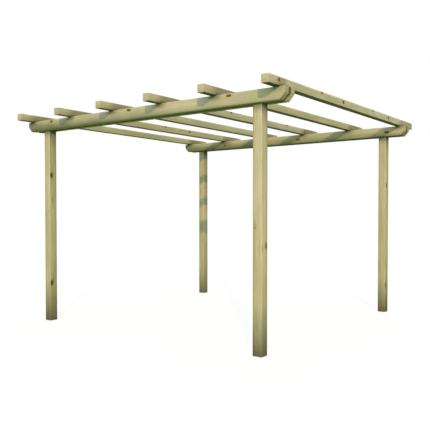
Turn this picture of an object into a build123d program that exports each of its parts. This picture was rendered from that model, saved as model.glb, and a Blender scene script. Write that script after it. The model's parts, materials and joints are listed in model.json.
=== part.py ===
"""Wooden pergola: four notched posts, two pairs of rails and a row of rafters.

Millimetres. X runs along the rails, Y along the rafters, Z is up. The origin is on the ground
in the middle of the four posts.
"""

import os

from build123d import *

# Plan, between the centres of the posts
post_spacing_x = 3025.0
post_spacing_y = 3025.0

# Square posts, notched at the top to a tongue that stands between the two rails
post_width = 98.0
shoulder_height = 2305.0
tongue_thickness = 35.0
tongue_setback = 5.0

# Rails, in pairs, seated on the shoulders of the posts, with their lower corners cut off
rail_overhang = 307.5
rail_height = 118.5
rail_thickness = 68.0
end_cut_length = 55.0
end_cut_height = 62.0

# Rafters, laid across both pairs of rails, the outer ones set in from the ends of the rails
rafter_front_overhang = 280.0
rafter_back_overhang = 325.0
rafter_width = 79.0
rafter_height = 77.0
rafter_inset = 45.0
rafter_count = 6

# Planed and rounded long edges of every timber
arris_radius = 3.0

# Lengths and places that follow from the sizes above
tongue_height = rail_height - tongue_setback
rail_length = post_spacing_x + 2 * rail_overhang
rail_offset = (tongue_thickness + rail_thickness) / 2
rail_top = shoulder_height + rail_height
rafter_reach = post_spacing_y / 2 + rafter_front_overhang
rafter_length = rafter_reach + post_spacing_y / 2 + rafter_back_overhang
rafter_row_length = rail_length - 2 * rafter_inset - rafter_width
rafter_spacing = rafter_row_length / (rafter_count - 1)

os.makedirs("parts", exist_ok=True)


def write(part, name):
    """Label a finished timber and write it as its own file."""
    part.label = name
    export_step(part, f"parts/{name}.step")


rows = {"front": -1, "back": 1}
sides = {"left": -1, "right": 1}

# Posts: a square stick with rounded edges up to the shoulders, and the tongue above them
for row_name, row in rows.items():
    for side_name, side in sides.items():
        post_centre = (side * post_spacing_x / 2, row * post_spacing_y / 2)
        with BuildPart() as post:
            with BuildSketch(Plane.XY):
                with Locations(post_centre):
                    RectangleRounded(post_width, post_width, arris_radius)
            extrude(amount=shoulder_height)
            with BuildSketch(Plane.XY.offset(shoulder_height)):
                with Locations(post_centre):
                    Rectangle(post_width, tongue_thickness)
            extrude(amount=tongue_height)
        write(post.part, f"{row_name}_{side_name}_post")

# Rails: the side outline with its cut ends, as thick as the timber, rounded along both faces
for row_name, row in rows.items():
    for face_name, face in {"outer": row, "inner": -row}.items():
        rail_centre = row * post_spacing_y / 2 + face * rail_offset
        with BuildPart() as rail:
            with BuildSketch(Plane.XZ.offset(-rail_centre)):
                with BuildLine():
                    right_half = Polyline(
                        (0, rail_top),
                        (rail_length / 2, rail_top),
                        (rail_length / 2, shoulder_height + end_cut_height),
                        (rail_length / 2 - end_cut_length, shoulder_height),
                        (0, shoulder_height),
                    )
                    mirror(right_half, about=Plane.YZ)
                make_face()
            extrude(amount=rail_thickness / 2, both=True)
            fillet(rail.faces().filter_by(Axis.Y).edges(), radius=arris_radius)
        write(rail.part, f"{row_name}_{face_name}_rail")

# Rafters: nearly square sections with rounded edges, evenly spaced along the rails
for number in range(rafter_count):
    rafter_x = number * rafter_spacing - rafter_row_length / 2
    with BuildPart() as rafter:
        with BuildSketch(Plane.XZ.offset(rafter_reach)):
            with Locations((rafter_x, rail_top + rafter_height / 2)):
                RectangleRounded(rafter_width, rafter_height, arris_radius)
        extrude(amount=-rafter_length)
    write(rafter.part, f"rafter_{number + 1}")
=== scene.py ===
"""Wooden pergola: dressed timbers with grain, knots and painted shade at the feet, on a pale studio
floor.

Metres, in the frame of the CAD model. X runs along the rails, Y along the rafters and Z is up.
"""

import collections
import functools
import json
import math
import random

import bpy
import numpy as np
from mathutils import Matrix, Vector, noise


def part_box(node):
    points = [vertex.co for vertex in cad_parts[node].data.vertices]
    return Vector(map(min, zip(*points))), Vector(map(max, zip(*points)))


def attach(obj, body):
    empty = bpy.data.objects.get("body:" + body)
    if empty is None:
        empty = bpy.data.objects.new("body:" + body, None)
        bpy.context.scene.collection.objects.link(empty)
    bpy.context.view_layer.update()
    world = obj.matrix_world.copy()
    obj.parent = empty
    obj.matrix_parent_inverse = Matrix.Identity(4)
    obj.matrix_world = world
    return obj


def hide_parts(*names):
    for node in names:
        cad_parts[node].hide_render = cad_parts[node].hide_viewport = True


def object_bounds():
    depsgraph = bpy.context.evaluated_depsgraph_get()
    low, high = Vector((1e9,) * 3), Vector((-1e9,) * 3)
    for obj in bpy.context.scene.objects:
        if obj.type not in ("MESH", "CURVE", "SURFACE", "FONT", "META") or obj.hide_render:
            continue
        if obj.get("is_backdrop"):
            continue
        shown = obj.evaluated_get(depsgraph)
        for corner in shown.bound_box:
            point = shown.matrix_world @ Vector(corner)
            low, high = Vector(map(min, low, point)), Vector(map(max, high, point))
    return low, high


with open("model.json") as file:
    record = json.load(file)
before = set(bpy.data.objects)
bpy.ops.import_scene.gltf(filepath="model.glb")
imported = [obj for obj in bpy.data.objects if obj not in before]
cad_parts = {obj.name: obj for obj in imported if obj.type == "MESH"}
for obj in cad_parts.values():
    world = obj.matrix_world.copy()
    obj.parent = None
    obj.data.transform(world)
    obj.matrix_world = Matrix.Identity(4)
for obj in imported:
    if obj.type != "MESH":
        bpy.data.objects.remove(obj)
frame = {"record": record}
cad_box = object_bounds()

MM = 0.001
AXES = "XYZ"
BODY = "root"
WHITE = (1.0, 1.0, 1.0)

# Camera, from the perspective of the photograph, which is 430 pixels square
PICTURE_WIDTH = 430.0
FOCAL_PIXELS = 589.009
MIDDLE_PIXEL = (214.918, 224.483)
CAMERA_PLACE = (4.4173, -6.0685, 1.3273)
CAMERA_HEADING = 36.907
CAMERA_TILT = -1.2726
SENSOR_WIDTH = 36.0

# A cool sky, a low warm sun, a wide soft fill near the camera's side and a warmer one from behind, with
# the lamps as way of travel, strength, colour and angle in degrees
SKY_COLOUR = (0.85, 1.0, 1.22)
SKY_STRENGTH = 0.75
LAMPS = {
    "sun": ((-0.8105, 1.0, -0.432), 1.7, (1.0, 0.72, 0.47), 0.7),
    "fill": ((-0.38, 0.92, -0.1), 1.3, SKY_COLOUR, 40.0),
    "back_fill": ((0.62, -0.72, -0.3), 1.3, (1.0, 0.88, 0.7), 60.0),
}

# Floor: pale and glowing to the eye, and duller where it throws light back on the timbers
FLOOR_RADIUS = 60.0
FLOOR_STEPS = 96
FLOOR_SEEN = (0.3, 0.275, 0.235)
FLOOR_GLOW = 0.745
FLOOR_BOUNCE = (0.11, 0.15, 0.05)

# Dressing of the timbers: rounded edges, softened ends, and how close the points lie
ARRIS = 3 * MM
ARC_STEPS = 4
FACE_STEP = 9 * MM
LEAST_ROOM_SHARE = 0.45
LONG_STEP = 14 * MM
KNOT_STEP = 4 * MM
KNOT_REACH = 2.0
LAST_STEP_SHARE = 1.5
END_SOFTNESS = 1.5 * MM
END_STEPS = 4
CAP_SHARES = (0.25, 0.5, 0.75)
TONGUE_SHARES = (0.25, 0.5, 0.75, 1.0)
SHARP_ANGLE = 38.0
RAIL_CUT_LENGTH = 55 * MM
RAIL_CUT_HEIGHT = 62 * MM

# Relief: slow waves and planing marks, with their scales across and along the grain, saw marks on the
# ends, and knots that stand up inside a sunken rim, with places in knot radii
RELIEF_SHIFT = (7.3, 3.1, 5.7)
WAVE_DEPTH = 0.18 * MM
WAVE_SCALES = (14.0, 1.3)
PLANING_DEPTH = 0.08 * MM
PLANING_SCALES = (120.0, 22.0)
SAW_DEPTH = 0.3 * MM
SAW_SCALES = (260.0, 90.0)
KNOT_RISE = 0.5 * MM
KNOT_FOOT = 1.1
KNOT_SLOPE = 0.4
RIM_DEPTH = 0.5 * MM
RIM_PLACE = 1.15
RIM_WIDTH = 0.15

# Drying checks: spans of their start, length and place across, in shares, their size, and how they open
# and wander along the grain
CHECKS_EACH = 2
CHECK_SEED = 50
CHECK_SHARES = ((0.05, 0.5), (0.12, 0.35), (-0.5, 0.5))
CHECK_WIDTH = 1.8 * MM
CHECK_DEPTH = 5 * MM
CHECK_LEAST_SHARE = 0.4
CHECK_OPENING_POWER = 0.6
CHECK_WANDER = 2 * MM
WANDER_RATES = (9, 23)

# Countersunk screws: head, cross recess, and how far they stand from the middle line of a rail or post
HEAD_RADIUS = 5 * MM
HEAD_DEPTH = 2.4 * MM
HEAD_SEGMENTS = 40
HEAD_RING_SHARES = (0.12, 0.2, 0.28, 0.36, 0.44, 0.52, 0.6, 0.72, 0.84, 0.94)
HEAD_FOOT_SHARES = (0.9, 0.4)
DOME_DROP = 0.35 * MM
LIP_DROP = 0.7 * MM
RECESS_DEPTH = 1.6 * MM
RECESS_HALF_WIDTH = 0.8 * MM
RECESS_REACH = 2.7 * MM
SCREW_STAGGER = 14 * MM
RAIL_SCREW_SPREAD = 30 * MM
PAIR_WIDTH = 0.2
SCREWED_RAILS = ("front_inner_rail", "back_outer_rail")

# Scale of a knot along the grain: the smaller, the longer the knot
KNOT_SQUEEZE = {"post_timber": 0.68, "rail_timber": 0.44, "rafter_timber": 0.8}

# Knots that the photograph shows, as face, share of the length, share of the width and radius in mm
SEEN_KNOTS = {
    "front_outer_rail": (("-Y", 0.12, 0.81, 12), ("-Y", 0.477, 0.82, 12), ("-Y", 0.835, 0.82, 12)),
    "back_inner_rail": (("-Y", 0.221, 0.43, 13), ("-Y", 0.576, 0.45, 15), ("-Y", 0.936, 0.45, 14)),
    "rafter_2": (("+X", 0.501, 0.92, 13), ("+X", 0.642, 0.64, 13)),
    "rafter_4": (("+X", 0.389, 0.9, 13), ("+X", 0.748, 0.88, 13), ("+X", 0.885, 0.53, 17)),
    "rafter_6": (
        ("+X", 0.047, 0.63, 14), ("+X", 0.273, 0.94, 13), ("+X", 0.409, 0.61, 17),
        ("+X", 0.629, 0.9, 13), ("+X", 0.764, 0.63, 15),
    ),
    "front_left_post": (("+X", 0.73, 0.24, 17), ("+X", 0.19, 0.22, 18), ("-Y", 0.55, 0.7, 4)),
    "front_right_post": (("+X", 0.418, 0.82, 17), ("-Y", 0.486, 0.23, 4), ("-Y", 0.776, 0.15, 4)),
    "back_right_post": (("+X", 0.691, 0.26, 14), ("+X", 0.147, 0.26, 15)),
}
SEEN_FACES = ("-Y", "+X")

# Knots made up for hidden faces: how many on each, and the spans of their shares and radius
MADE_UP_COUNTS = (1, 2, 2)
MADE_UP_SPANS = ((0.06, 0.94), (0.2, 0.85), (8, 14))

# Brown smears that the photograph shows on the posts, each a slender mark along the grain, as face, share
# of the length, share of the width, half width in mm, how many times longer it is, and strength
SEEN_SMEARS = {
    "front_left_post": (
        ("+X", 0.605, 0.39, 13, 5.5, 1.0), ("-Y", 0.54, 0.26, 14, 4.0, 0.55),
        ("+X", 0.212, 0.5, 22, 2.5, 0.45),
    ),
    "front_right_post": (("-Y", 0.493, 0.24, 20, 4.5, 0.65), ("+X", 0.408, 0.15, 24, 2.5, 0.5)),
}


def linear(red, green, blue):
    """A screen colour, 0 to 255, as the linear colour that a shader takes."""
    shares = [value / 255 for value in (red, green, blue)]
    return tuple(c / 12.92 if c <= 0.04045 else ((c + 0.055) / 1.055) ** 2.4 for c in shares)


# Colours of pressure treated softwood, its stains and its screws
TAN = linear(207, 197, 153)
GREEN = linear(186, 183, 137)
BROWN = linear(176, 154, 112)
LATE_WOOD = linear(180, 165, 119)
KNOT_CORE = linear(70, 65, 36)
KNOT_HEART = linear(95, 84, 47)
KNOT_RIM = linear(62, 56, 29)
HALO = linear(196, 176, 112)
DARK_HALO = linear(138, 128, 78)
DARK_OLIVE = linear(106, 111, 71)
GREEN_EDGE_TONE = linear(140, 143, 94)
JOINT_BROWN = linear(122, 107, 75)
COATING = linear(150, 146, 118)
BARE_STEEL = linear(188, 186, 172)

# How much each timber differs from the common colours, as the photograph shows
TINTS = {
    "front_right_post": (1.0, 1.0, 0.98),
    "front_left_post": (0.91, 0.9, 0.81),
    "back_left_post": (0.9, 0.88, 0.81),
    "back_right_post": (0.94, 0.92, 0.86),
    "back_inner_rail": (0.92, 0.92, 0.85),
    "front_inner_rail": (1.12, 1.15, 1.12),
    "rafter_1": (0.9, 0.95, 0.88),
    "rafter_2": (0.9, 0.95, 0.88),
    "rafter_3": (0.95, 1.0, 0.94),
    "rafter_4": (0.9, 0.97, 0.97),
    "rafter_5": (0.98, 1.02, 0.98),
    "rafter_6": (1.06, 1.1, 1.12),
}

# Noises, as scale, detail and roughness, and how far three of them are drawn out along the grain
SEED_SHIFT = 10.0
FIBRE_DRAW = 0.035
BROAD_DRAW = 0.16
TINGE_DRAW = 0.14
STREAK_NOISE = (24.0, 3.0, 0.6)
BROAD_NOISE = (9.0, 2.0)
FIBRE_NOISE = (620.0, 2.0, 0.7)
TINGE_NOISE = (34.0, 2.0)
RING_NOISE = (30.0, 2.0)
SWAY_NOISE = (1.1, 1.0)
KNOT_NOISE = (75.0, 2.0)
CRUMPLE_NOISE = (260.0, 3.0)
FOOT_SHADE_NOISE = (55.0, 3.0)
MOSS_NOISE = (2.6, 2.0)
WEAR_NOISE = (420.0, 3.0, 0.6)
BRUSH_SCALES = (90.0, 1400.0, 300.0)

# Growth rings: width, unevenness, and the place, slant and sway of the pith that they lie round
RING_SEED = 100
RING_WIDTH = 4.2 * MM
RING_UNEVENNESS = 0.7
PITH_SHARES = (0.2, 0.8)
PITH_OFFSET = 20 * MM
PITH_SLANT = 0.012
SWAY_WIDTH = 30 * MM
SWAY_SHIFT = 5.0
SWIRL_STEP = (3.6, 0.8, 0.0, 1.6)
LATE_BAND = ((0.25, 0.9), (1.0, 0.93))

# From here on a step or a ramp is start, end and the values there, or 0 and 1 if it names none

# Bare wood: where the noises turn it green or brown, and how much late wood and fibres show
GREEN_STEP = (0.35, 0.68)
BROWN_STEP = (0.52, 0.78, 0.0, 0.45)
LATE_STEP = (0.6, 0.9, 0.5, 0.9)
FIBRE_RAMP = (0.3, 0.7, 0.9, 1.08)
# Painted highlight along the long edges
EDGE_HIGHLIGHT_RAMP = (0.0, 1.0, 1.0, 1.05)
EDGE_HIGHLIGHT_REACH = 14 * MM

# Knots: halo, rings, cracks and rim, with all places in knot radii
KNOT_UNEVENNESS = 0.5
HALO_STEP = (4.2, 0.9, 0.0, 0.5)
DARK_HALO_STEP = (2.8, 0.9)
KNOT_RINGS = 3.4
KNOT_CRUMPLE = 1.1
KNOT_RING_STEP = (0.15, 0.8)
CRACK_MIDDLE = 0.5
CRACK_STEP = (0.035, 0.0)
CRACKED_STEP = (0.9, 0.4)
HEART_STEP = (1.1, 0.8, 0.0, 0.9)
RIM_BAND = ((1.25, 0.98), (0.55, 0.85))
RIM_STRENGTH = 0.8

# Steps in how far a face turns along an axis: dark halos stay off the front, and the greener edges off
# flat faces
FRONTWARD = (-0.4, -0.8)
RIGHTWARD = (0.4, 0.8)
DOWNWARD = (-0.72, -0.9)
SLOPING_DOWN = (-0.45, -0.55)
OFF_FRONT = (-0.8, -0.4, 0.0, 0.6)
OFF_LEFT = (-0.3, -0.8, 1.0, 0.25)
OFF_BACK = (0.3, 0.8, 1.0, 0.25)

# Posts: streaks and smears, greener towards the left and back edges, and a painted highlight along the
# front right edge
PALE_STREAK = (1.04, 1.03, 1.06)
GOLDEN_STREAK = (0.97, 0.97, 0.94)
TINGE_STEP = (0.38, 0.62)
SMEAR_SHADE = (0.55, 0.53, 0.36)
SMEAR_STEP = (1.0, 0.2)
GREEN_LEFT_STEP = (0.3, 0.0)
GREEN_BACK_STEP = (0.45, 1.0)
GREEN_EDGE_RAMP = (0.3, 0.7, 0.75, 0.4)
# Painted highlight along the front right edge, which faces the sun
PAINTED_FRONT_RIGHT_HIGHLIGHT = (1.14, 1.13, 1.08)
HIGHLIGHT_LEFT_STEP = (0.5, 0.8, 0.0, 0.6)
HIGHLIGHT_BACK_STEP = (0.12, 0.02)

# Posts: bleached high on the front, yellowed low on it, and paler up the right side
BLEACHED = (1.12, 1.08, 1.13)
BLEACHED_BAND = ((0.55, 0.72), (0.97, 0.82))
YELLOWED = (0.95, 0.93, 0.85)
YELLOWED_BAND = ((0.62, 0.46), (0.1, 0.22))
PALE_FLANK = (1.11, 1.12, 1.15)
PALE_FLANK_STEP = (0.25, 0.42)
LEFT_FLANK_STEP = (0.8, 0.5)

# Posts: darker green on the right side under the rails, shade at the shoulder, and how strong the painted
# shade at each foot is on its front and on its right side
# Darker green on the right side, just under the rails
UNDER_RAIL_STEP = (-0.3, -0.02, 0.0, 0.45)
SHOULDER_STEP = (-0.1, 0.0)
FOOT_SHADE_HEIGHT = 0.1
FOOT_SHADE_STREAK = 0.12
# Painted shade at the foot of each post
PAINTED_FOOT_SHADE = (0.25, 0.268, 0.215)
FOOT_SHADE_RAMP = (0.47, 0.02)
FOOT_SHADE_STRENGTHS = {
    "front_left_post": (0.97, 0.93),
    "front_right_post": (1.0, 0.92),
    "back_left_post": (0.9, 0.8),
    "back_right_post": (0.98, 1.06),
}

# Rails: moss that climbs from the lower edge, with its strength at the left and right ends
MOSS_STRENGTHS = {
    "front_outer_rail": (0.89, 0.1),
    "front_inner_rail": (0.7, 0.0),
    "back_inner_rail": (0.9, 0.58),
    "back_outer_rail": (0.8, 0.35),
}
MOSS_FADE_SHARES = (0.2, 0.88)
MOSS_REACHES = (1.15, 0.5)
MOSS_LEVEL = 0.65
MOSS_STREAK = 0.3

# Rails: the damp left end, and a darker green patch by a rafter as share of the length, reach and
# strength
DAMP_END_STEP = (0.65, 0.15)
DAMP_END_WAVE = 0.3
DAMP_END_STRENGTH = 0.8
DAMP_RISE_STEP = (1.0, 0.2, 0.35, 1.0)
DARK_GREEN_PATCHES = {"back_inner_rail": (0.226, 0.18, 0.46)}
PATCH_CORE_SHARE = 0.3
PATCH_KNOT_STEP = (0.9, 1.3)

# Rails: shade in the slot between twins, and darker towards the lower edge, up to these shares of the
# height at the left and right ends
SLOT_SHADE = (0.25, 0.27, 0.185)
SLOT_STEP = (5 * MM, 1 * MM)
SLOT_RISE_STEP = (0.1, 0.5, 0.5, 1.0)
LOWER_EDGE_DARKENING = (0.68, 0.73, 0.7)
FRONT_LOWER_EDGE_SHARES = (0.36, 0.19)
BACK_LOWER_EDGE_SHARES = (0.16, 0.12)
LOWER_EDGE_FULL_SHARE = 0.02

# Shade where timbers touch: on the rails under a rafter, weaker at the right end of the front ones, and
# on the rafters over a rail
CONTACT_SHADE = (0.46, 0.48, 0.44)
CONTACT_ASIDE = 15 * MM
CONTACT_STEP = (0.1, 0.02)
CONTACT_HEIGHT_STEP = (-0.07, -0.015)
CONTACT_FADE_SHARES = (0.8, 0.93)
CONTACT_STRENGTHS = (0.85, 0.25)
BACK_CONTACT = 0.6
TOUCH_STEP = (0.075, 0.035)
TOUCH_HEIGHT_STEP = (0.032, 0.006)
UNDER_STEP = (0.15, 0.03)

# Rafters: shade from the lower edge to the upper one, and a darker brown band at each pair of rails, as
# its strength and how far past the second rail it ends and begins to end
RAFTER_SHADES = (0.88, 1.06)
JOINT_BANDS = {"rafter_6": ((0.55, 0.03, -0.09), (0.45, 0.42, 0.15))}
OTHER_JOINTS = ((0.62, 0.45, 0.1), (0.7, 0.28, 0.08))
JOINT_LEAD = 0.17
JOINT_STREAK = 0.1
JOINT_SLANT = -0.09

# Rails and rafters: sawn ends, painted light on the sloping cuts of the rails, and painted shade on the
# undersides
END_GRAIN = {"rail_timber": (0.86, 0.91, 0.84), "rafter_timber": (1.04, 0.99, 0.97)}
SAWN_STEP = (0.88, 0.97)
# Painted light on the sloping cuts, strongest on the front inner rail
PAINTED_BEVEL_LIGHTS = {"front_inner_rail": (1.4, 1.44, 1.46)}
OTHER_PAINTED_BEVEL_LIGHT = (1.12, 1.15, 1.13)
BEVEL_STEP = (0.55, 0.65)
# Painted shade: the undersides take a dark green colour in place of the wood's
PAINTED_UNDERSIDE_SHADES = {"rail_timber": (0.45, 0.5, 0.18), "rafter_timber": (0.12, 0.14, 0.015)}
BACK_RAIL_PAINTED_UNDERSIDE_SHADE = (0.14, 0.16, 0.03)
PAINTED_UNDERSIDE_RAMP = (0.3, 0.7, 1.25, 0.75)

# Surface of the wood and of the screws
ROUGHNESS = 0.72
FIBRE_ROUGHNESS = 0.18
LATE_ROUGHNESS = -0.08
LATE_HEIGHT = 0.35
FIBRE_HEIGHT = 0.65
GRAIN_BUMP = (0.35, 0.6 * MM)
SPECULAR = 0.1
BARE_STEP = (0.5, 0.68)
STEEL_ROUGHNESS_RAMP = (0.3, 0.7, 0.35, 0.55)
STEEL_BUMP = (0.25, 0.1 * MM)


class Shader:
    """Short calls for building one node tree."""

    def __init__(self, tree):
        self.tree = tree
        tree.nodes.clear()

    def feed(self, socket, value):
        if isinstance(value, bpy.types.NodeSocket):
            self.tree.links.new(value, socket)
        elif socket.type == "RGBA":
            socket.default_value = (*value, 1.0)
        else:
            socket.default_value = value

    def node(self, kind, *values, **settings):
        made = self.tree.nodes.new("ShaderNode" + kind)
        for name, value in settings.items():
            setattr(made, name, value)
        for socket, value in zip(made.inputs, values):
            self.feed(socket, value)
        return made

    def math(self, operation, *values):
        return self.node("Math", *values, operation=operation).outputs[0]

    def times(self, first, second):
        return self.math("MULTIPLY", first, second)

    def plus(self, base, value, factor):
        """The base and so many times the value."""
        return self.math("MULTIPLY_ADD", value, factor, base)

    def away(self, value, place):
        """Distance of a value from a place on one axis."""
        return self.math("ABSOLUTE", self.math("SUBTRACT", value, place))

    def least(self, values):
        return functools.reduce(lambda first, second: self.math("MINIMUM", first, second), values)

    def distance(self, first, second):
        return self.node("VectorMath", first, second, operation="DISTANCE").outputs["Value"]

    def scaled(self, vector, scales):
        return self.node("VectorMath", vector, scales, operation="MULTIPLY").outputs[0]

    def point(self, x, y, z):
        return self.node("CombineXYZ", x, y, z).outputs[0]

    def apart(self, vector):
        return list(self.node("SeparateXYZ", vector).outputs)

    def noise(self, vector, scale, detail=2.0, roughness=0.5):
        made = self.node("TexNoise")
        inputs = {"Vector": vector, "Scale": scale, "Detail": detail, "Roughness": roughness}
        for name, value in inputs.items():
            self.feed(made.inputs[name], value)
        return made.outputs["Fac"]

    def smooth(self, value, start, end, low=0.0, high=1.0):
        """Smooth step of value from start to end, going from low to high."""
        made = self.node("MapRange", value, start, end, low, high, interpolation_type="SMOOTHSTEP")
        return made.outputs[0]

    def band(self, value, rising, falling):
        """1 where the value is past one smooth step and short of another."""
        return self.times(self.smooth(value, *rising), self.smooth(value, *falling))

    def ramp(self, value, start, end, low=0.0, high=1.0):
        return self.node("MapRange", value, start, end, low, high).outputs[0]

    def mix(self, factor, first, second, way="MIX"):
        made = self.node("Mix", data_type="RGBA", blend_type=way)
        for place, value in ((0, factor), (6, first), (7, second)):
            self.feed(made.inputs[place], value)
        return made.outputs[2]

    def grey(self, value):
        return self.point(value, value, value)

    def tinted(self, colour, tint):
        return self.mix(1.0, colour, tint, "MULTIPLY")

    def shaded(self, factor, colour, shade):
        """The colour, tinted by the shade as far as the factor says."""
        return self.mix(factor, colour, self.tinted(colour, shade))

    def surface(self, height, bump, inputs):
        """Ends the tree with a principled surface, bumped by a height with (strength, depth)."""
        bumped = self.node("Bump", *bump)
        self.feed(bumped.inputs["Height"], height)
        principled = self.node("BsdfPrincipled")
        for name, value in inputs.items():
            self.feed(principled.inputs[name], value)
        self.feed(principled.inputs["Normal"], bumped.outputs[0])
        self.result("Material", principled.outputs[0])

    def result(self, kind, output):
        made = self.node("Output" + kind)
        self.tree.links.new(output, made.inputs["Surface"])


def new_material(name):
    material = bpy.data.materials.new(name)
    material.use_nodes = True
    return material


def new_object(name, data):
    made = bpy.data.objects.new(name, data)
    bpy.context.scene.collection.objects.link(made)
    return made


class Knot:
    """A knot on one face of a timber, at shares of the timber's length and of the face's width."""

    def __init__(self, face, along_share, across_share, radius_mm):
        self.face = face
        self.along_share = along_share
        self.across_share = across_share
        self.radius = radius_mm * MM

    def centre(self, timber):
        axis = AXES.index(self.face[1])
        across = 3 - axis - timber.grain
        place = [0.0, 0.0, 0.0]
        place[axis] = (timber.high if self.face[0] == "+" else timber.low)[axis]
        place[timber.grain] = timber.at(timber.grain, self.along_share)
        place[across] = timber.at(across, self.across_share)
        return place


# A drying check, which is a fine split along the grain, on one of the four sides of a timber
Check = collections.namedtuple("Check", "side across_share start_share end_share")


class Timber:
    """One timber of the frame: the CAD node that it stands for, its grain, its knots and its checks."""

    def __init__(self, node, slot, seed):
        self.node = node
        self.slot = slot
        self.seed = seed
        self.low, self.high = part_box(node)
        self.middle = (self.low + self.high) / 2
        sides = list(self.high - self.low)
        self.grain = sides.index(max(sides))
        self.across = ((self.grain + 1) % 3, (self.grain + 2) % 3)
        self.half = [sides[axis] / 2 for axis in self.across]
        self.squeeze = self.scales(1.0, KNOT_SQUEEZE[slot])
        self.knots = knots_of(self)
        self.checks = checks_of(self)

    def at(self, axis, share):
        return self.low[axis] + share * (self.high[axis] - self.low[axis])

    def scales(self, across, along):
        """Scales for the three axes, from one across the grain and one along it."""
        return [along if axis == self.grain else across for axis in range(3)]


class Layout:
    """What the timbers share: the middle lines of rails and rafters, and the joint on the posts."""

    def __init__(self, timbers):
        rails = {timber.node: timber for timber in timbers if timber.slot == "rail_timber"}
        outer, inner = rails["front_outer_rail"], rails["front_inner_rail"]
        self.tongue = inner.low.y - outer.high.y
        self.shoulder = outer.low.z
        self.rail_lines = sorted(round(rail.middle.y, 4) for rail in rails.values())
        self.rafter_lines = [timber.middle.x for timber in timbers if timber.slot == "rafter_timber"]


def knots_of(timber):
    """The knots that the photograph shows, and a few more on the faces that it hides."""
    picked = random.Random(timber.seed)
    knots = [Knot(*values) for values in SEEN_KNOTS.get(timber.node, ())]
    for axis in timber.across:
        for side in "+-":
            face = side + AXES[axis]
            if face in SEEN_FACES:
                continue
            for _ in range(picked.choice(MADE_UP_COUNTS)):
                knots.append(Knot(face, *[picked.uniform(*span) for span in MADE_UP_SPANS]))
    return knots


def checks_of(timber):
    """Two drying checks on different sides, clear of the ends."""
    picked = random.Random(timber.seed + CHECK_SEED)
    made = []
    for side in picked.sample(range(4), CHECKS_EACH):
        start_share, length_share, across_share = [picked.uniform(*span) for span in CHECK_SHARES]
        made.append(Check(side, across_share, start_share, start_share + length_share))
    return made


class Skin:
    """Points and faces of one mesh while it is being made."""

    def __init__(self):
        self.points = []
        self.faces = []

    def ring(self, points):
        start = len(self.points)
        self.points.extend(tuple(point) for point in points)
        return list(range(start, len(self.points)))

    def wall(self, lower, upper):
        following = lower[1:] + lower[:1]
        following_up = upper[1:] + upper[:1]
        self.faces.extend(zip(lower, following, following_up, upper))

    def walls(self, rings):
        for lower, upper in zip(rings, rings[1:]):
            self.wall(lower, upper)

    def fan(self, ring, pole, upward):
        (tip,) = self.ring([pole])
        following = ring[1:] + ring[:1]
        pairs = zip(ring, following) if upward else zip(following, ring)
        self.faces.extend((first, second, tip) for first, second in pairs)

    def piece(self, name, material):
        """The finished object, which rides on the fixed body."""
        mesh = bpy.data.meshes.new(name)
        mesh.from_pydata(self.points, [], self.faces)
        mesh.shade_smooth()
        mesh.set_sharp_from_angle(angle=math.radians(SHARP_ANGLE))
        mesh.materials.append(material)
        piece = new_object(name, mesh)
        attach(piece, BODY)
        return piece


SIDES = ((1, 0), (0, 1), (-1, 0), (0, -1))


class Outline:
    """A rounded rectangle of any size, anticlockwise: for every point, its seat on the inner rectangle in
    half sides, the ways outward and onward from there, and the check and the lip that it belongs to."""

    def __init__(self, timber, notch=None):
        self.notches = []
        points = []
        for side, (out_s, out_t) in enumerate(SIDES):
            out, onward = np.array((out_s, out_t)), np.array((-out_t, out_s))
            flat = timber.half[1 - side % 2] - ARRIS
            for share, check, lip, is_notch in self.columns(timber, side, flat, notch):
                if is_notch:
                    self.notches.append(len(points))
                points.append((out + onward * share, out, onward, check, lip))
            for step in range(ARC_STEPS + 1):
                turn = math.pi / 2 * step / ARC_STEPS
                way = out * math.cos(turn) + onward * math.sin(turn)
                points.append((out + onward, way, (0, 0), -1, 0))
        columns = [np.array(values, float) for values in zip(*points)]
        self.seats, self.ways, self.travel, self.check, self.lip = columns

    def columns(self, timber, side, flat, notch):
        """Points across one side, in shares of the flat's half width: even ones, and those of a check
        or of the post's notch in place of the even ones that are too near."""
        special = []
        for number, check in enumerate(timber.checks):
            if check.side == side:
                special += [(check.across_share, number, lip, False) for lip in (-1, 0, 1)]
        if notch and side % 2 == 0:
            special += [(place * notch / flat, -1, 0, True) for place in (-1, 1)]
        count = round(2 * flat / FACE_STEP) - 1
        even = [2 * (step + 1) / (count + 1) - 1 for step in range(count)]
        room = LEAST_ROOM_SHARE * FACE_STEP / flat
        free = [share for share in even if all(abs(share - other[0]) > room for other in special)]
        columns = [(share, -1, 0, False) for share in free] + special
        return sorted(columns, key=lambda column: (column[0], column[2]))


def along_places(timber, start, end, breaks):
    """Places along a timber, closer together at its knots, with one at each break."""
    wide = KNOT_REACH / timber.squeeze[timber.grain]
    knots = [(knot.centre(timber)[timber.grain], wide * knot.radius) for knot in timber.knots]
    places = [start]
    while places[-1] < end:
        here = places[-1]
        at_knot = any(abs(here - centre) < reach for centre, reach in knots)
        step = KNOT_STEP if at_knot else LONG_STEP
        stop = min(place for place in [*breaks, end] if place > here)
        places.append(stop if stop - here < LAST_STEP_SHARE * step else here + step)
    return places


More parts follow.
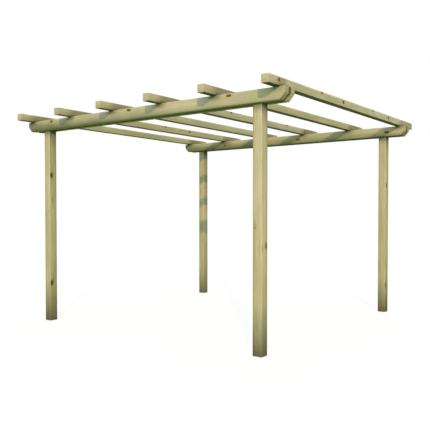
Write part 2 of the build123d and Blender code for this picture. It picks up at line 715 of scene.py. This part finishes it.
def relief(timber, places):
    """How far each point sinks below the CAD face: slow waves, planing marks, and raised knots."""
    shift = Vector(RELIEF_SHIFT) * (timber.seed + 1)
    slow = Vector(timber.scales(*WAVE_SCALES))
    fine = Vector(timber.scales(*PLANING_SCALES))
    flat = places.reshape(-1, 3)
    depth = np.empty(len(flat))
    for number, place in enumerate(flat):
        point = Vector(place)
        wave = noise.noise(point * slow + shift)
        ripple = noise.noise(point * fine + shift)
        depth[number] = WAVE_DEPTH * (1 + wave) + PLANING_DEPTH * (1 + ripple)
    for knot in timber.knots:
        gap = (flat - np.array(knot.centre(timber))) * timber.squeeze
        away = np.linalg.norm(gap, axis=1) / knot.radius
        depth -= KNOT_RISE * np.clip((KNOT_FOOT - away) / KNOT_SLOPE, 0, 1)
        depth += RIM_DEPTH * np.exp(-(((away - RIM_PLACE) / RIM_WIDTH) ** 2))
    return np.maximum(depth, 0).reshape(places.shape[:2])


def check_opening(timber, check, along):
    """How far a check is open at each place along the timber, from 0 to 1."""
    start = timber.at(timber.grain, check.start_share)
    end = timber.at(timber.grain, check.end_share)
    share = np.clip((along - start) / (end - start), 0, 1)
    return np.sin(math.pi * share) ** CHECK_OPENING_POWER


def rows_of(timber, outline, rows):
    """The points of every row, from rows of (place along, half sides, middle, arris)."""
    along, half, middle, arris = [np.array(column)[:, None] for column in zip(*rows)]
    arris = arris[..., None]
    around = middle + outline.seats * (half - arris) + outline.ways * arris
    slow, fast = WANDER_RATES
    for number, check in enumerate(timber.checks):
        opening = check_opening(timber, check, along)
        wander = CHECK_WANDER * np.sin(slow * along + timber.seed) * np.cos(fast * along)
        open_share = CHECK_LEAST_SHARE + (1 - CHECK_LEAST_SHARE) * opening
        shift = wander + outline.lip * CHECK_WIDTH / 2 * open_share
        shift = np.where(outline.check == number, shift, 0)
        around = around + outline.travel * shift[..., None]
    places = np.empty((*around.shape[:2], 3))
    places[..., timber.grain] = along
    places[..., timber.across] = around
    return places


def sink(timber, outline, places):
    """Moves the points of the long sides inward by the relief and by the depth of the checks."""
    depth = relief(timber, places)
    along = places[:, :1, timber.grain]
    for number, check in enumerate(timber.checks):
        bottom = (outline.check == number) & (outline.lip == 0)
        depth = depth + np.where(bottom, CHECK_DEPTH * check_opening(timber, check, along), 0)
    places[..., timber.across] -= depth[..., None] * outline.ways
    return places


def end_rows(place, inward, half, middle, softness):
    """Rows over a sawn end, from the middle of the face out over its softened edge."""
    rows = []
    face = [side - soft for side, soft in zip(half, softness)]
    for share in CAP_SHARES:
        rows.append((place, [side * share for side in face], middle, ARRIS * share))
    for step in range(END_STEPS):
        turn = math.pi / 2 * step / END_STEPS
        inset = [soft * (1 - math.sin(turn)) for soft in softness]
        depth = max(softness) * (1 - math.cos(turn))
        sides = [side - by for side, by in zip(half, inset)]
        rows.append((place + inward * depth, sides, middle, ARRIS))
    return rows


def sawn(timber, places):
    """Roughens the points of a sawn end, along the grain and into the timber."""
    centre = timber.middle[timber.grain]
    fine, coarse = SAW_SCALES
    for point in places.reshape(-1, 3):
        inward = 1 if point[timber.grain] < centre else -1
        kerf = noise.noise(Vector(point) * fine) + noise.noise(Vector(point) * coarse) / 2
        point[timber.grain] += inward * SAW_DEPTH * max(0.0, (1 + kerf) / 2)
    return places


def rail_profile(timber, place):
    """Half sides and middle of a rail's section, whose underside rises over the cut at each end."""
    to_end = min(place - timber.low[timber.grain], timber.high[timber.grain] - place)
    rise = RAIL_CUT_HEIGHT * max(0.0, 1 - to_end / RAIL_CUT_LENGTH)
    half = [timber.half[0], timber.half[1] - rise / 2]
    return half, [timber.middle[timber.across[0]], timber.middle[timber.across[1]] + rise / 2]


def plain_profile(timber, place):
    """Half sides and middle of a section that is the same at every place."""
    return list(timber.half), [timber.middle[axis] for axis in timber.across]


def lay_rings(skin, timber, outline, rows, far_rows):
    """Rings of the long sides, which are sunk, between sawn ends, of which the far one may be missing."""
    caps = len(CAP_SHARES) + 1
    places = rows_of(timber, outline, rows + far_rows)
    stop = len(places) - caps if far_rows else len(places)
    places[caps:stop] = sink(timber, outline, places[caps:stop])
    places[:caps] = sawn(timber, places[:caps])
    places[stop:] = sawn(timber, places[stop:])
    rings = [skin.ring(row) for row in places]
    skin.walls(rings)
    skin.fan(rings[0], places[0].mean(axis=0), False)
    if far_rows:
        skin.fan(rings[-1], places[-1].mean(axis=0), True)
    return rings


def beam_skin(timber, profile, softness, breaks):
    """Skin of a rail or rafter: a sawn end, the long sides, and the other end."""
    skin = Skin()
    low, high = timber.low[timber.grain], timber.high[timber.grain]
    depth = max(softness)
    rows = end_rows(low, 1, *profile(timber, low), softness)
    for place in along_places(timber, low + depth, high - depth, breaks):
        rows.append((place, *profile(timber, place), ARRIS))
    far_rows = end_rows(high, -1, *profile(timber, high), softness)[::-1]
    lay_rings(skin, timber, Outline(timber), rows, far_rows)
    return skin


def post_skin(timber, layout):
    """Skin of a post: foot, long sides, the two shoulders, and the tongue that stands between them."""
    skin = Skin()
    outline = Outline(timber, layout.tongue / 2)
    foot, shoulder, peak = timber.low.z, layout.shoulder, timber.high.z
    half, middle = plain_profile(timber, foot)
    rows = end_rows(foot, 1, half, middle, (END_SOFTNESS, END_SOFTNESS))
    for place in along_places(timber, foot + END_SOFTNESS, shoulder, []):
        rows.append((place, half, middle, ARRIS))

    # The four edges of the tongue rise from the notch columns of the two sides
    top = lay_rings(skin, timber, outline, rows, [])[-1]
    right_front, right_back, left_back, left_front = outline.notches
    count = round(2 * half[0] / FACE_STEP)
    shares = [(step + 1) / count for step in range(count - 1)]
    corner = [np.array(skin.points[top[notch]]) for notch in outline.notches]
    back_line = skin.ring(corner[2] + share * (corner[1] - corner[2]) for share in shares)
    front_line = skin.ring(corner[0] + share * (corner[3] - corner[0]) for share in shares)
    skin.faces.append(tuple(top[right_back:left_back + 1] + back_line))
    skin.faces.append(tuple(top[left_front:] + top[:right_front + 1] + front_line))
    right_side = top[right_front:right_back + 1]
    left_side = top[left_back:left_front + 1]
    below = right_side + back_line[::-1] + left_side + front_line[::-1]

    # Rows up the tongue, over its softened end and in to its middle
    base = np.array([skin.points[index] for index in below])
    centre = np.array([middle[0], middle[1], 0.0])
    halves = (half[0], layout.tongue / 2)
    climb = [(shoulder + share * (peak - END_SOFTNESS - shoulder), 0.0) for share in TONGUE_SHARES]
    for step in range(1, END_STEPS + 1):
        turn = math.pi / 2 * step / END_STEPS
        climb.append((peak - END_SOFTNESS * (1 - math.sin(turn)), END_SOFTNESS * (1 - math.cos(turn))))
    upper_rings = [below]
    for height, inset in climb:
        scale = [(side - inset) / side for side in halves] + [0.0]
        row = centre + (base - centre) * scale
        row[:, 2] = height
        upper_rings.append(skin.ring(row))
    rim = np.array([skin.points[index] for index in upper_rings[-1]])
    pole = rim.mean(axis=0)
    for share in CAP_SHARES[::-1]:
        upper_rings.append(skin.ring(pole + (rim - pole) * share))
    skin.walls(upper_rings)
    skin.fan(upper_rings[-1], pole, True)
    return skin


def screw_head(skin, centre, out, turn):
    """A countersunk screw head with a cross recess, with its rim at the centre and facing outward."""
    out = Vector(out)
    first = Vector((0, 0, 1)) if abs(out.z) < 0.5 else Vector((1, 0, 0))
    second = out.cross(first)
    angles = [2 * math.pi * step / HEAD_SEGMENTS for step in range(HEAD_SEGMENTS)]

    def ring(radius, sunk):
        points = []
        for angle in angles:
            across, up = radius * math.cos(angle), radius * math.sin(angle)
            near, far = sorted((abs(across), abs(up)))
            in_cross = near < RECESS_HALF_WIDTH and far < RECESS_REACH
            depth = sunk + (RECESS_DEPTH if in_cross and sunk < HEAD_DEPTH else 0)
            way = first * math.cos(angle + turn) + second * math.sin(angle + turn)
            points.append(Vector(centre) + way * radius - out * depth)
        return skin.ring(points)

    rings = [ring(HEAD_RADIUS * share, DOME_DROP * share ** 2) for share in HEAD_RING_SHARES]
    rings.append(ring(HEAD_RADIUS, LIP_DROP))
    rings += [ring(HEAD_RADIUS * share, HEAD_DEPTH) for share in HEAD_FOOT_SHARES]
    for inner, outer in zip(rings, rings[1:]):
        skin.wall(outer, inner)
    skin.fan(rings[0], Vector(centre) - out * RECESS_DEPTH, True)
    skin.fan(rings[-1], Vector(centre) - out * HEAD_DEPTH, False)


def screw_material():
    """Green coated steel, brushed by the driver and dulled in patches by the weather."""
    material = new_material("coated_screw")
    s = Shader(material.node_tree)
    position = s.node("TexCoord").outputs["Object"]
    wear = s.noise(position, *WEAR_NOISE)
    brushed = s.noise(s.scaled(position, BRUSH_SCALES), 1.0)
    colour = s.mix(s.smooth(wear, *BARE_STEP), COATING, BARE_STEEL)
    roughness = s.ramp(brushed, *STEEL_ROUGHNESS_RAMP)
    s.surface(brushed, STEEL_BUMP, {"Base Color": colour, "Metallic": 1.0, "Roughness": roughness})
    return material


def screws_piece(name, places, material, seed):
    """One object of screw heads, from places of (centre, way out)."""
    picked = random.Random(seed)
    skin = Skin()
    for centre, out in places:
        screw_head(skin, centre, out, picked.uniform(0, math.pi / 2))
    piece = skin.piece(name, material)


def add_screws(timbers, rail_lines):
    """A screw through every rafter into each rail, and two through each pair of rails at every post."""
    material = screw_material()
    rafters = [timber for timber in timbers if timber.slot == "rafter_timber"]
    posts = [timber for timber in timbers if timber.slot == "post_timber"]
    screwed_rails = [timber for timber in timbers if timber.node in SCREWED_RAILS]
    for rafter in rafters:
        places = []
        for number, line in enumerate(rail_lines):
            stagger = SCREW_STAGGER * (-1) ** number
            places.append(((rafter.middle.x + stagger, line, rafter.high.z), (0, 0, 1)))
        screws_piece("screws_" + rafter.node, places, material, rafter.seed)
    for rail in screwed_rails:
        places = []
        for post in posts:
            if abs(post.middle.y - rail.middle.y) < PAIR_WIDTH:
                for side in (-1, 1):
                    across = post.middle.x + side * SCREW_STAGGER
                    up = rail.middle.z + side * RAIL_SCREW_SPREAD
                    places.append(((across, rail.high.y, up), (0, 1, 0)))
        screws_piece("screws_" + rail.node, places, material, rail.seed)


class Wood(Shader):
    """The shader of one timber, with the values that its layers share."""

    def __init__(self, timber, layout):
        self.material = new_material("timber_" + timber.node)
        super().__init__(self.material.node_tree)
        self.timber = timber
        self.layout = layout
        coordinates = self.node("TexCoord").outputs
        self.position = coordinates["Object"]
        self.parts = self.apart(self.position)
        self.along = self.parts[timber.grain]
        self.height = self.parts[2]
        self.facing = self.apart(coordinates["Normal"])
        self.endways = self.math("ABSOLUTE", self.facing[timber.grain])
        self.shift = SEED_SHIFT * timber.seed
        self.nearest = self.knot_nearness()
        self.drawn = self.drawn_out(FIBRE_DRAW)
        self.streak = self.noise(self.drawn, *STREAK_NOISE)
        self.broad = self.noise(self.drawn_out(BROAD_DRAW), *BROAD_NOISE)
        self.fibre = self.noise(self.drawn, *FIBRE_NOISE)
        self.late = self.late_wood()

    def drawn_out(self, draw):
        """Coordinates drawn out along the grain, for streaks and fibres."""
        sides = [self.parts[axis] for axis in self.timber.across]
        return self.point(*sides, self.plus(self.shift, self.along, draw))

    def share(self, axis, low=0.0, high=1.0):
        """Goes from low to high on the way through the timber along an axis."""
        return self.ramp(self.parts[axis], self.timber.low[axis], self.timber.high[axis], low, high)

    def to_lines(self, place, lines):
        return self.least([self.away(place, line) for line in lines])

    def to_mark(self, mark, scales):
        """Distance from a knot or smear, in its radii, with each axis scaled."""
        centre = [value * by for value, by in zip(mark.centre(self.timber), scales)]
        away = self.distance(self.scaled(self.position, scales), centre)
        return self.times(away, 1 / mark.radius)

    def knot_nearness(self):
        """Distance to the nearest knot, in knot radii, with every knot long and uneven."""
        scales = self.timber.squeeze
        nearest = self.least([self.to_mark(knot, scales) for knot in self.timber.knots])
        uneven = self.noise(self.scaled(self.position, scales), *KNOT_NOISE)
        nearest = self.math("SUBTRACT", nearest, KNOT_UNEVENNESS / 2)
        return self.plus(nearest, uneven, KNOT_UNEVENNESS)

    def late_wood(self):
        """The dark part of each growth ring, round a pith that slants through the timber and sways."""
        timber = self.timber
        picked = random.Random(timber.seed + RING_SEED)
        squares = []
        for number, axis in enumerate(timber.across):
            sway = self.noise(self.point(self.shift, SWAY_SHIFT * number, self.along), *SWAY_NOISE)
            pith = timber.at(axis, picked.uniform(*PITH_SHARES)) + picked.choice((-1, 1)) * PITH_OFFSET
            away = self.math("SUBTRACT", self.parts[axis], pith + SWAY_WIDTH / 2)
            away = self.plus(away, sway, SWAY_WIDTH)
            away = self.plus(away, self.along, picked.uniform(-PITH_SLANT, PITH_SLANT))
            squares.append(self.times(away, away))
        reach = self.math("SQRT", self.math("ADD", *squares))
        turns = self.plus(self.smooth(self.nearest, *SWIRL_STEP), reach, 1 / RING_WIDTH)
        turns = self.math("ADD", turns, self.times(self.noise(self.drawn, *RING_NOISE), RING_UNEVENNESS))
        return self.band(self.math("FRACT", turns), *LATE_BAND)


def bare_wood(s):
    """Streaks, late wood and fibres, in the timber's own tint."""
    colour = s.mix(s.smooth(s.broad, *GREEN_STEP), TAN, GREEN)
    colour = s.mix(s.smooth(s.streak, *BROWN_STEP), colour, BROWN)
    colour = s.mix(s.times(s.late, s.smooth(s.endways, *LATE_STEP)), colour, LATE_WOOD)
    colour = s.tinted(colour, s.grey(s.ramp(s.fibre, *FIBRE_RAMP)))
    return s.tinted(colour, TINTS.get(s.timber.node, WHITE))


def knot_marks(s, colour):
    """Knots with a halo, rings, cracks and a dark rim."""
    nearest = s.nearest
    if s.timber.slot == "post_timber":
        strength = s.smooth(s.facing[1], *OFF_FRONT)
        colour = s.mix(s.smooth(nearest, *DARK_HALO_STEP, 0.0, strength), colour, DARK_HALO)
    else:
        colour = s.mix(s.smooth(nearest, *HALO_STEP), colour, HALO)
    crumpled = s.noise(s.position, *CRUMPLE_NOISE)
    turns = s.plus(s.times(crumpled, KNOT_CRUMPLE), nearest, KNOT_RINGS)
    heart = s.mix(s.smooth(s.math("FRACT", turns), *KNOT_RING_STEP), KNOT_CORE, KNOT_HEART)
    crack = s.smooth(s.away(crumpled, CRACK_MIDDLE), *CRACK_STEP)
    heart = s.mix(s.times(crack, s.smooth(nearest, *CRACKED_STEP)), heart, KNOT_RIM)
    colour = s.mix(s.smooth(nearest, *HEART_STEP), colour, heart)
    rim = s.times(s.band(nearest, *RIM_BAND), RIM_STRENGTH)
    return s.mix(rim, colour, KNOT_RIM)


def painted_edge_highlights(s, colour):
    """Painted highlight: long edges made paler."""
    timber = s.timber
    near = []
    # Painted highlight, paler towards each long edge
    for axis, half in zip(timber.across, timber.half):
        off = s.away(s.parts[axis], timber.middle[axis])
        near.append(s.smooth(off, half - EDGE_HIGHLIGHT_REACH, half - ARRIS))
    return s.tinted(colour, s.grey(s.ramp(s.times(*near), *EDGE_HIGHLIGHT_RAMP)))


def post_marks(s, colour):
    """Pale and golden streaks, and brown smears."""
    timber = s.timber
    tinge = s.noise(s.drawn_out(TINGE_DRAW), *TINGE_NOISE)
    colour = s.tinted(colour, s.mix(s.smooth(tinge, *TINGE_STEP), PALE_STREAK, GOLDEN_STREAK))
    for *place, longer, strength in SEEN_SMEARS.get(timber.node, ()):
        away = s.to_mark(Knot(*place), timber.scales(1.0, 1 / longer))
        colour = s.shaded(s.smooth(away, *SMEAR_STEP, 0.0, strength), colour, SMEAR_SHADE)
    return colour


def post_weather(s, colour):
    """Greener towards the left and back edges, a painted highlight along the front right edge, and wood
    that is bleached, yellowed or pale.
    """
    timber = s.timber
    left, back = s.share(0), s.share(1)
    at_left = s.times(s.smooth(left, *GREEN_LEFT_STEP), s.smooth(s.facing[0], *OFF_LEFT))
    at_back = s.times(s.smooth(back, *GREEN_BACK_STEP), s.smooth(s.facing[1], *OFF_BACK))
    green_edges = s.times(s.math("MAXIMUM", at_left, at_back), s.ramp(s.streak, *GREEN_EDGE_RAMP))
    colour = s.mix(green_edges, colour, GREEN_EDGE_TONE)
    # Painted highlight along the front right edge
    pale = s.times(s.smooth(left, *HIGHLIGHT_LEFT_STEP), s.smooth(back, *HIGHLIGHT_BACK_STEP))
    colour = s.shaded(pale, colour, PAINTED_FRONT_RIGHT_HIGHLIGHT)
    rise = s.ramp(s.height, 0.0, s.layout.shoulder)
    front = s.smooth(s.facing[1], *FRONTWARD)
    if timber.middle.y < 0:
        colour = s.shaded(s.times(front, s.band(rise, *BLEACHED_BAND)), colour, BLEACHED)
    colour = s.shaded(s.times(front, s.band(rise, *YELLOWED_BAND)), colour, YELLOWED)
    pale = s.times(s.smooth(s.facing[0], *RIGHTWARD), s.smooth(rise, *PALE_FLANK_STEP))
    if timber.middle.x < 0:
        pale = s.times(pale, s.smooth(rise, *LEFT_FLANK_STEP))
    return s.shaded(pale, colour, PALE_FLANK)


def post_top_and_foot(s, colour):
    """Darker green on the right side under the rails, painted shade at the foot, and shade where the
    rails sit on the shoulders.
    """
    over_shoulder = s.math("SUBTRACT", s.height, s.layout.shoulder)
    # Darker green on the right side, just under the rails
    under_rail = s.times(s.smooth(over_shoulder, *UNDER_RAIL_STEP), s.smooth(s.facing[0], *RIGHTWARD))
    colour = s.mix(under_rail, colour, DARK_OLIVE)
    # Painted shade at the foot, with a wavy upper edge
    foot_edge = s.times(s.streak, FOOT_SHADE_STREAK)
    foot_edge = s.plus(foot_edge, s.noise(s.position, *FOOT_SHADE_NOISE), FOOT_SHADE_HEIGHT)
    level = s.math("SUBTRACT", s.height, (FOOT_SHADE_HEIGHT + FOOT_SHADE_STREAK) / 2)
    level = s.math("ADD", foot_edge, level)
    strength = s.smooth(s.facing[0], *RIGHTWARD, *FOOT_SHADE_STRENGTHS[s.timber.node])
    colour = s.shaded(s.times(s.ramp(level, *FOOT_SHADE_RAMP), strength), colour, PAINTED_FOOT_SHADE)
    return s.shaded(s.smooth(over_shoulder, *SHOULDER_STEP), colour, CONTACT_SHADE)


def rail_moss(s, colour):
    """Moss that climbs from the lower edge and covers the damp left end."""
    timber = s.timber
    rise = s.share(2)
    left_strength, right_strength = MOSS_STRENGTHS[timber.node]
    level = s.math("SUBTRACT", s.math("DIVIDE", rise, s.share(0, *MOSS_REACHES)), MOSS_LEVEL)
    level = s.plus(level, s.streak, MOSS_STREAK)
    level = s.math("ADD", level, s.noise(s.point(s.along, s.shift, s.height), *MOSS_NOISE))
    fade = [timber.at(0, share) for share in MOSS_FADE_SHARES]
    strength = s.smooth(s.along, *fade, left_strength, right_strength)
    colour = s.mix(s.smooth(level, 1.0, 0.0, 0.0, strength), colour, DARK_OLIVE)
    to_end = s.math("SUBTRACT", s.along, timber.low.x)
    to_end = s.plus(to_end, s.broad, DAMP_END_WAVE)
    soaked = s.smooth(to_end, *DAMP_END_STEP, 0.0, DAMP_END_STRENGTH * left_strength)
    colour = s.mix(s.times(soaked, s.smooth(rise, *DAMP_RISE_STEP)), colour, DARK_OLIVE)
    # A darker green patch by a rafter
    if timber.node in DARK_GREEN_PATCHES:
        share, reach, strength = DARK_GREEN_PATCHES[timber.node]
        off = s.away(s.along, timber.at(0, share))
        patch = s.smooth(off, reach, PATCH_CORE_SHARE * reach, 0.0, strength)
        colour = s.mix(s.times(patch, s.smooth(s.nearest, *PATCH_KNOT_STEP)), colour, DARK_OLIVE)
    return colour


def rail_shade(s, colour):
    """Shade in the slot between twin rails and under the rafters, and darker towards the lower edge."""
    timber = s.timber
    middle = timber.middle.y
    in_front = middle < 0
    rise = s.share(2)
    twin = sorted(s.layout.rail_lines, key=lambda line: abs(line - middle))[1]
    face = timber.high.y if twin > middle else timber.low.y
    in_slot = s.smooth(s.away(s.parts[1], face), *SLOT_STEP)
    colour = s.shaded(s.times(in_slot, s.smooth(rise, *SLOT_RISE_STEP)), colour, SLOT_SHADE)
    darkening_top = s.share(0, *(FRONT_LOWER_EDGE_SHARES if in_front else BACK_LOWER_EDGE_SHARES))
    colour = s.shaded(s.smooth(rise, darkening_top, LOWER_EDGE_FULL_SHARE), colour, LOWER_EDGE_DARKENING)
    aside = s.math("SUBTRACT", s.along, CONTACT_ASIDE)
    beside = s.smooth(s.to_lines(aside, s.layout.rafter_lines), *CONTACT_STEP)
    below = s.smooth(s.math("SUBTRACT", s.height, timber.high.z), *CONTACT_HEIGHT_STEP)
    strength = BACK_CONTACT
    if in_front:
        fade = [timber.at(0, share) for share in CONTACT_FADE_SHARES]
        strength = s.smooth(s.along, *fade, *CONTACT_STRENGTHS)
    return s.shaded(s.times(s.times(beside, below), strength), colour, CONTACT_SHADE)


def rafter_joints(s, colour):
    """Darker brown bands, and shade where the rafter crosses the rails."""
    timber = s.timber
    rail_lines = s.layout.rail_lines
    colour = s.tinted(colour, s.grey(s.share(2, *RAFTER_SHADES)))
    slant = s.plus(s.along, s.streak, JOINT_STREAK)
    slant = s.plus(slant, s.share(2), JOINT_SLANT)
    bands = JOINT_BANDS.get(timber.node, OTHER_JOINTS)
    for (first, second), (strength, end, fade) in zip((rail_lines[:2], rail_lines[2:]), bands):
        begins = s.smooth(slant, first - JOINT_LEAD, first)
        ends = s.smooth(s.along, second + end, second + fade, 0.0, strength)
        colour = s.mix(s.times(begins, ends), colour, JOINT_BROWN)
    near = s.smooth(s.to_lines(s.along, rail_lines), *TOUCH_STEP)
    low_down = s.smooth(s.math("SUBTRACT", s.height, timber.low.z), *TOUCH_HEIGHT_STEP)
    return s.shaded(s.times(near, low_down), colour, CONTACT_SHADE)


def beam_ends(s, colour):
    """Sawn ends, painted light on sloping cuts, and painted shade on the undersides of rails and rafters.
    """
    timber = s.timber
    colour = s.shaded(s.smooth(s.endways, *SAWN_STEP), colour, END_GRAIN[timber.slot])
    # Painted light on the sloping cuts at the rail ends
    painted_bevel_light = s.times(s.smooth(s.endways, *BEVEL_STEP), s.smooth(s.facing[2], *SLOPING_DOWN))
    colour = s.shaded(painted_bevel_light, colour, PAINTED_BEVEL_LIGHTS.get(timber.node, OTHER_PAINTED_BEVEL_LIGHT))
    # Painted shade on the undersides, which face down
    shade = PAINTED_UNDERSIDE_SHADES[timber.slot]
    if timber.slot == "rail_timber" and timber.middle.y > 0:
        shade = BACK_RAIL_PAINTED_UNDERSIDE_SHADE
    underside = s.tinted(shade, s.grey(s.ramp(s.streak, *PAINTED_UNDERSIDE_RAMP)))
    return s.mix(s.smooth(s.facing[2], *DOWNWARD), colour, underside)


def rafter_seats(s, colour):
    """Shade under a rafter, near the rails."""
    near = s.smooth(s.to_lines(s.along, s.layout.rail_lines), *UNDER_STEP)
    return s.shaded(s.times(near, s.smooth(s.facing[2], *DOWNWARD)), colour, CONTACT_SHADE)


def finished(s, colour):
    """The material, with a surface that the grain roughens and raises."""
    roughness = s.plus(ROUGHNESS, s.late, LATE_ROUGHNESS)
    roughness = s.plus(roughness, s.fibre, FIBRE_ROUGHNESS)
    grain = s.times(s.fibre, FIBRE_HEIGHT)
    grain = s.plus(grain, s.late, LATE_HEIGHT)
    inputs = {"Base Color": colour, "Roughness": roughness, "Specular IOR Level": SPECULAR}
    s.surface(grain, GRAIN_BUMP, inputs)
    return s.material


def timber_material(timber, layout):
    """Planed softwood with rings round a slanting pith, streaks, knots, stains, painted shade, and
    painted light on the edges and the sloping cuts.
    """
    s = Wood(timber, layout)
    layers = {
        "post_timber": (post_marks, post_weather, post_top_and_foot),
        "rail_timber": (rail_moss, rail_shade, beam_ends),
        "rafter_timber": (rafter_joints, beam_ends, rafter_seats),
    }
    colour = bare_wood(s)
    for layer in (knot_marks, painted_edge_highlights, *layers[timber.slot]):
        colour = layer(s, colour)
    return finished(s, colour)


def make_camera():
    data = bpy.data.cameras.new("camera")
    data.sensor_width = SENSOR_WIDTH
    data.lens = FOCAL_PIXELS / PICTURE_WIDTH * SENSOR_WIDTH
    data.shift_x = (PICTURE_WIDTH / 2 - MIDDLE_PIXEL[0]) / PICTURE_WIDTH
    data.shift_y = (MIDDLE_PIXEL[1] - PICTURE_WIDTH / 2) / PICTURE_WIDTH
    camera = new_object("camera", data)
    camera.location = CAMERA_PLACE
    camera.rotation_euler = (math.radians(90 + CAMERA_TILT), 0.0, math.radians(CAMERA_HEADING))
    bpy.context.scene.camera = camera


def make_lamp(name, travel, strength, colour, angle):
    data = bpy.data.lights.new(name, "SUN")
    data.energy = strength
    data.color = colour
    data.angle = math.radians(angle)
    lamp = new_object(name, data)
    lamp.rotation_euler = Vector(travel).to_track_quat("-Z", "Y").to_euler()


def seen_directly(s):
    """1 for rays from the camera and for mirrored or bent ones, 0 for the rays that carry light."""
    rays = s.node("LightPath").outputs
    bent = s.math("MAXIMUM", rays["Is Glossy Ray"], rays["Is Transmission Ray"])
    return s.math("MAXIMUM", rays["Is Camera Ray"], bent)


def make_world():
    world = bpy.data.worlds.new("world")
    world.use_nodes = True
    bpy.context.scene.world = world
    s = Shader(world.node_tree)
    sky = s.node("Background", SKY_COLOUR, SKY_STRENGTH).outputs[0]
    backdrop = s.node("Background", WHITE, 1.0).outputs[0]
    s.result("World", s.node("MixShader", seen_directly(s), sky, backdrop).outputs[0])


def make_floor():
    material = new_material("studio_floor")
    s = Shader(material.node_tree)
    pale = s.node("BsdfDiffuse", FLOOR_SEEN).outputs[0]
    glow = s.node("Emission", WHITE, FLOOR_GLOW).outputs[0]
    seen = s.node("AddShader", pale, glow).outputs[0]
    bounce = s.node("BsdfDiffuse", FLOOR_BOUNCE).outputs[0]
    s.result("Material", s.node("MixShader", seen_directly(s), bounce, seen).outputs[0])
    mesh = bpy.data.meshes.new("studio_floor")
    turns = [2 * math.pi * step / FLOOR_STEPS for step in range(FLOOR_STEPS)]
    rim = [(FLOOR_RADIUS * math.cos(turn), FLOOR_RADIUS * math.sin(turn), 0.0) for turn in turns]
    mesh.from_pydata(rim, [], [list(range(FLOOR_STEPS))])
    mesh.materials.append(material)
    floor = new_object("studio_floor", mesh)
    floor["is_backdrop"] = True


def timber_skin(timber, layout):
    """The dressed mesh of a post, a rail or a rafter."""
    if timber.slot == "post_timber":
        return post_skin(timber, layout)
    if timber.slot == "rail_timber":
        breaks = [timber.low.x + RAIL_CUT_LENGTH, timber.high.x - RAIL_CUT_LENGTH]
        return beam_skin(timber, rail_profile, (ARRIS, END_SOFTNESS), breaks)
    return beam_skin(timber, plain_profile, (END_SOFTNESS, END_SOFTNESS), [])


def dress(frame):
    """Replaces every CAD timber by its dressed piece, and adds the screws."""
    parts = frame["record"]["subparts"]
    timbers = [Timber(part["node"], part["material_slot"], seed) for seed, part in enumerate(parts)]
    layout = Layout(timbers)
    for timber in timbers:
        skin = timber_skin(timber, layout)
        piece = skin.piece("dressed_" + timber.node, timber_material(timber, layout))
        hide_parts(timber.node)
    add_screws(timbers, layout.rail_lines)


make_camera()
for lamp_name, lamp_values in LAMPS.items():
    make_lamp(lamp_name, *lamp_values)
make_world()
make_floor()
dress(frame)

bpy.context.scene.view_settings.view_transform = "Standard"
boxes = {"cad": cad_box, "visual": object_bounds()}
{name: [list(corner) for corner in box] for name, box in boxes.items()}
